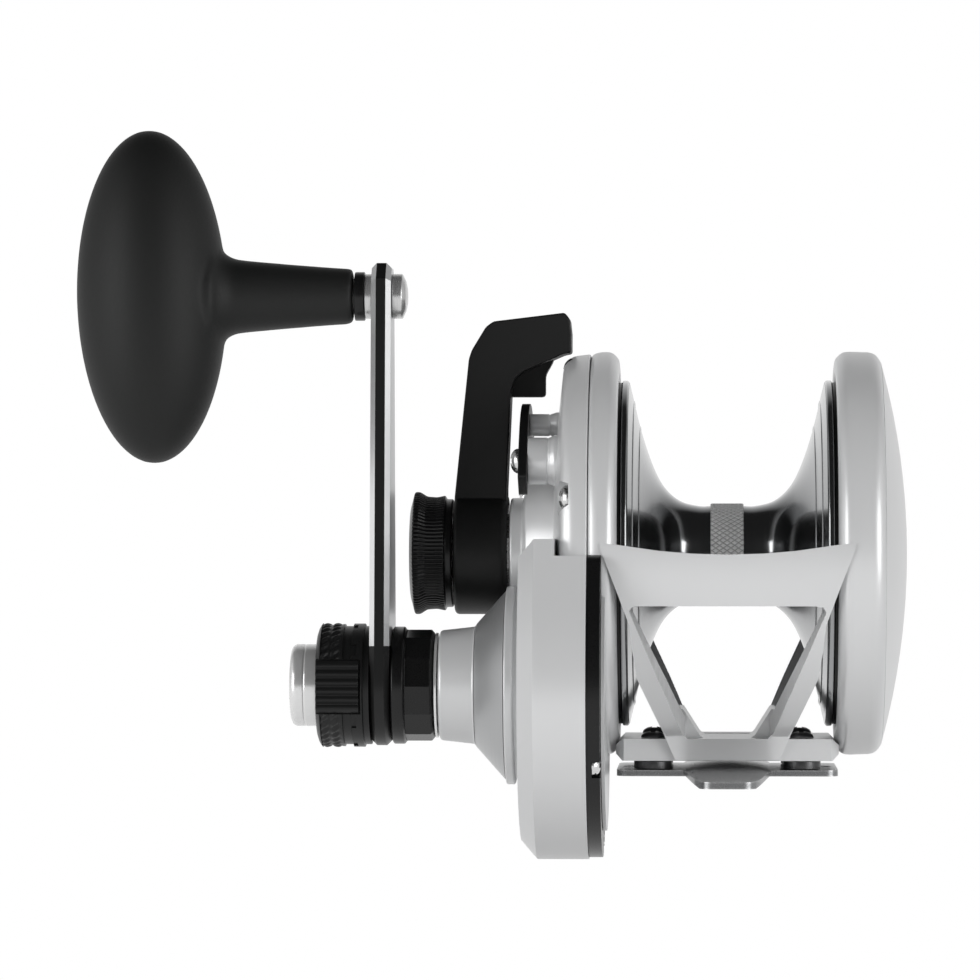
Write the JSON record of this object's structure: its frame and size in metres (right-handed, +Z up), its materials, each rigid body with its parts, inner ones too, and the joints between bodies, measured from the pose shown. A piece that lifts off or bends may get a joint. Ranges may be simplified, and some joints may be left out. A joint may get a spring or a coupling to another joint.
{
  "type": "trolling reel",
  "caption": "Lever-drag trolling reel with an open pierced frame, offset gear case, cranked handle with an egg-shaped grip, drag lever and a cross-shaped foot.",
  "frame": {"origin": "middle of the flat underside of the foot", "axes": "+X along the spool axis away from the handle, -Y towards the rod tip, +Z up from the rod to the spool"},
  "size_m": [0.164, 0.0934, 0.1432],
  "materials": {
    "satin": "satin silver paint over cast aluminium",
    "bright": "bright machined",
    "black_metal": "black anodised",
    "black_plastic": "matte black",
    "rubber": "matte soft-touch black",
    "gunmetal": "dark grey anodised",
    "spool_metal": "satin anodised",
    "steel": "ground",
    "brass": "machined",
    "carbon": "carbon fibre composite"
  },
  "bodies": {
    "frame_body": {"frame": "satin", "handle_side_plate": "satin", "gear_case_inner_plate": "black_metal", "gear_case_back_cover": "satin", "palm_side_plate": "satin", "reel_foot": "gunmetal", "foot_bolt_1": "bright", "foot_bolt_2": "bright", "foot_bolt_3": "bright", "foot_bolt_4": "bright", "foot_spacer_1": "black_plastic", "foot_spacer_2": "black_plastic", "foot_spacer_3": "black_plastic", "foot_spacer_4": "black_plastic", "lever_quadrant": "black_metal", "quadrant_screw_front": "bright", "quadrant_screw_rear": "bright", "side_screw_1": "bright", "side_screw_2": "bright", "side_screw_3": "bright", "side_screw_4": "bright", "gear_case_screw_1": "bright", "gear_case_screw_2": "bright", "gear_case_screw_3": "bright", "spool_shaft": "steel", "pinion_bearing": "steel", "handle_bearing_outer": "steel", "handle_bearing_inner": "steel", "anti_reverse_clutch": "steel", "drag_cam": "steel"},
    "spool_body": {"spool": "spool_metal", "spool_bearing_handle": "steel", "spool_bearing_palm": "steel", "drag_washer": "carbon", "click_gear": "brass"},
    "pinion_body": {"pinion": "steel", "drive_plate": "steel"},
    "crank_body": {"handle_shaft": "steel", "high_gear": "brass", "drive_collar": "black_metal", "seal_washer": "bright", "handle_arm": "black_metal", "arm_nut": "steel", "shift_housing": "black_metal", "knob_post": "bright", "knob_bushing": "bright", "knob_washer": "black_plastic"},
    "low_gear_body": {"low_gear": "brass"},
    "shift_body": {"shift_button": "bright", "shift_rod": "steel", "shift_spring": "steel"},
    "release_body": {"shift_release": "black_plastic"},
    "grip_body": {"grip_knob": "rubber"},
    "lever_body": {"drag_lever": "black_metal"},
    "preset_body": {"preset_knob": "black_metal", "preset_spring": "steel"},
    "clicker_body": {"clicker_button": "black_plastic", "click_tongue": "steel"}
  },
  "joints": [
    {"name": "handle_crank", "type": "hinge", "parent": "frame_body", "child": "crank_body", "pos_m": [0, -0.0174, 0.0191], "axis": [1, 0, 0], "continuous": true},
    {"name": "spool_spin", "type": "hinge", "parent": "frame_body", "child": "spool_body", "pos_m": [0, 0, 0.045], "axis": [1, 0, 0], "continuous": true},
    {"name": "pinion_spin", "type": "hinge", "parent": "frame_body", "child": "pinion_body", "pos_m": [0, 0, 0.045], "axis": [1, 0, 0], "continuous": true},
    {"name": "low_gear_spin", "type": "hinge", "parent": "frame_body", "child": "low_gear_body", "pos_m": [0, -0.0174, 0.0191], "axis": [1, 0, 0], "continuous": true},
    {"name": "grip_spin", "type": "hinge", "parent": "crank_body", "child": "grip_body", "pos_m": [0, -0.0174, 0.0955], "axis": [1, 0, 0], "continuous": true},
    {"name": "shift_button_press", "type": "slide", "parent": "crank_body", "child": "shift_body", "axis": [1, 0, 0], "range_m": [0, 0.0035], "stiffness_N_per_m": 1200, "deforming": ["shift_spring"]},
    {"name": "shift_release_press", "type": "slide", "parent": "crank_body", "child": "release_body", "axis": [0, 1, 0], "range_m": [0, 0.0009], "stiffness_N_per_m": 1500},
    {"name": "drag_lever_swing", "type": "hinge", "parent": "frame_body", "child": "lever_body", "pos_m": [0, 0, 0.045], "axis": [1, 0, 0], "range_deg": [-70, 35]},
    {"name": "preset_knob_turn", "type": "hinge", "parent": "lever_body", "child": "preset_body", "pos_m": [0, 0, 0.045], "axis": [1, 0, 0], "range_deg": [-270, 270]},
    {"name": "clicker_slide", "type": "slide", "parent": "frame_body", "child": "clicker_body", "axis": [0.1481, -0.989, 0], "range_m": [0, 0.0035]}
  ],
  "couplings": [
    {"joint": "pinion_spin", "follows": "handle_crank", "ratio": -5},
    {"joint": "spool_spin", "follows": "handle_crank", "ratio": -5},
    {"joint": "low_gear_spin", "follows": "handle_crank", "ratio": 1.9767}
  ]
}
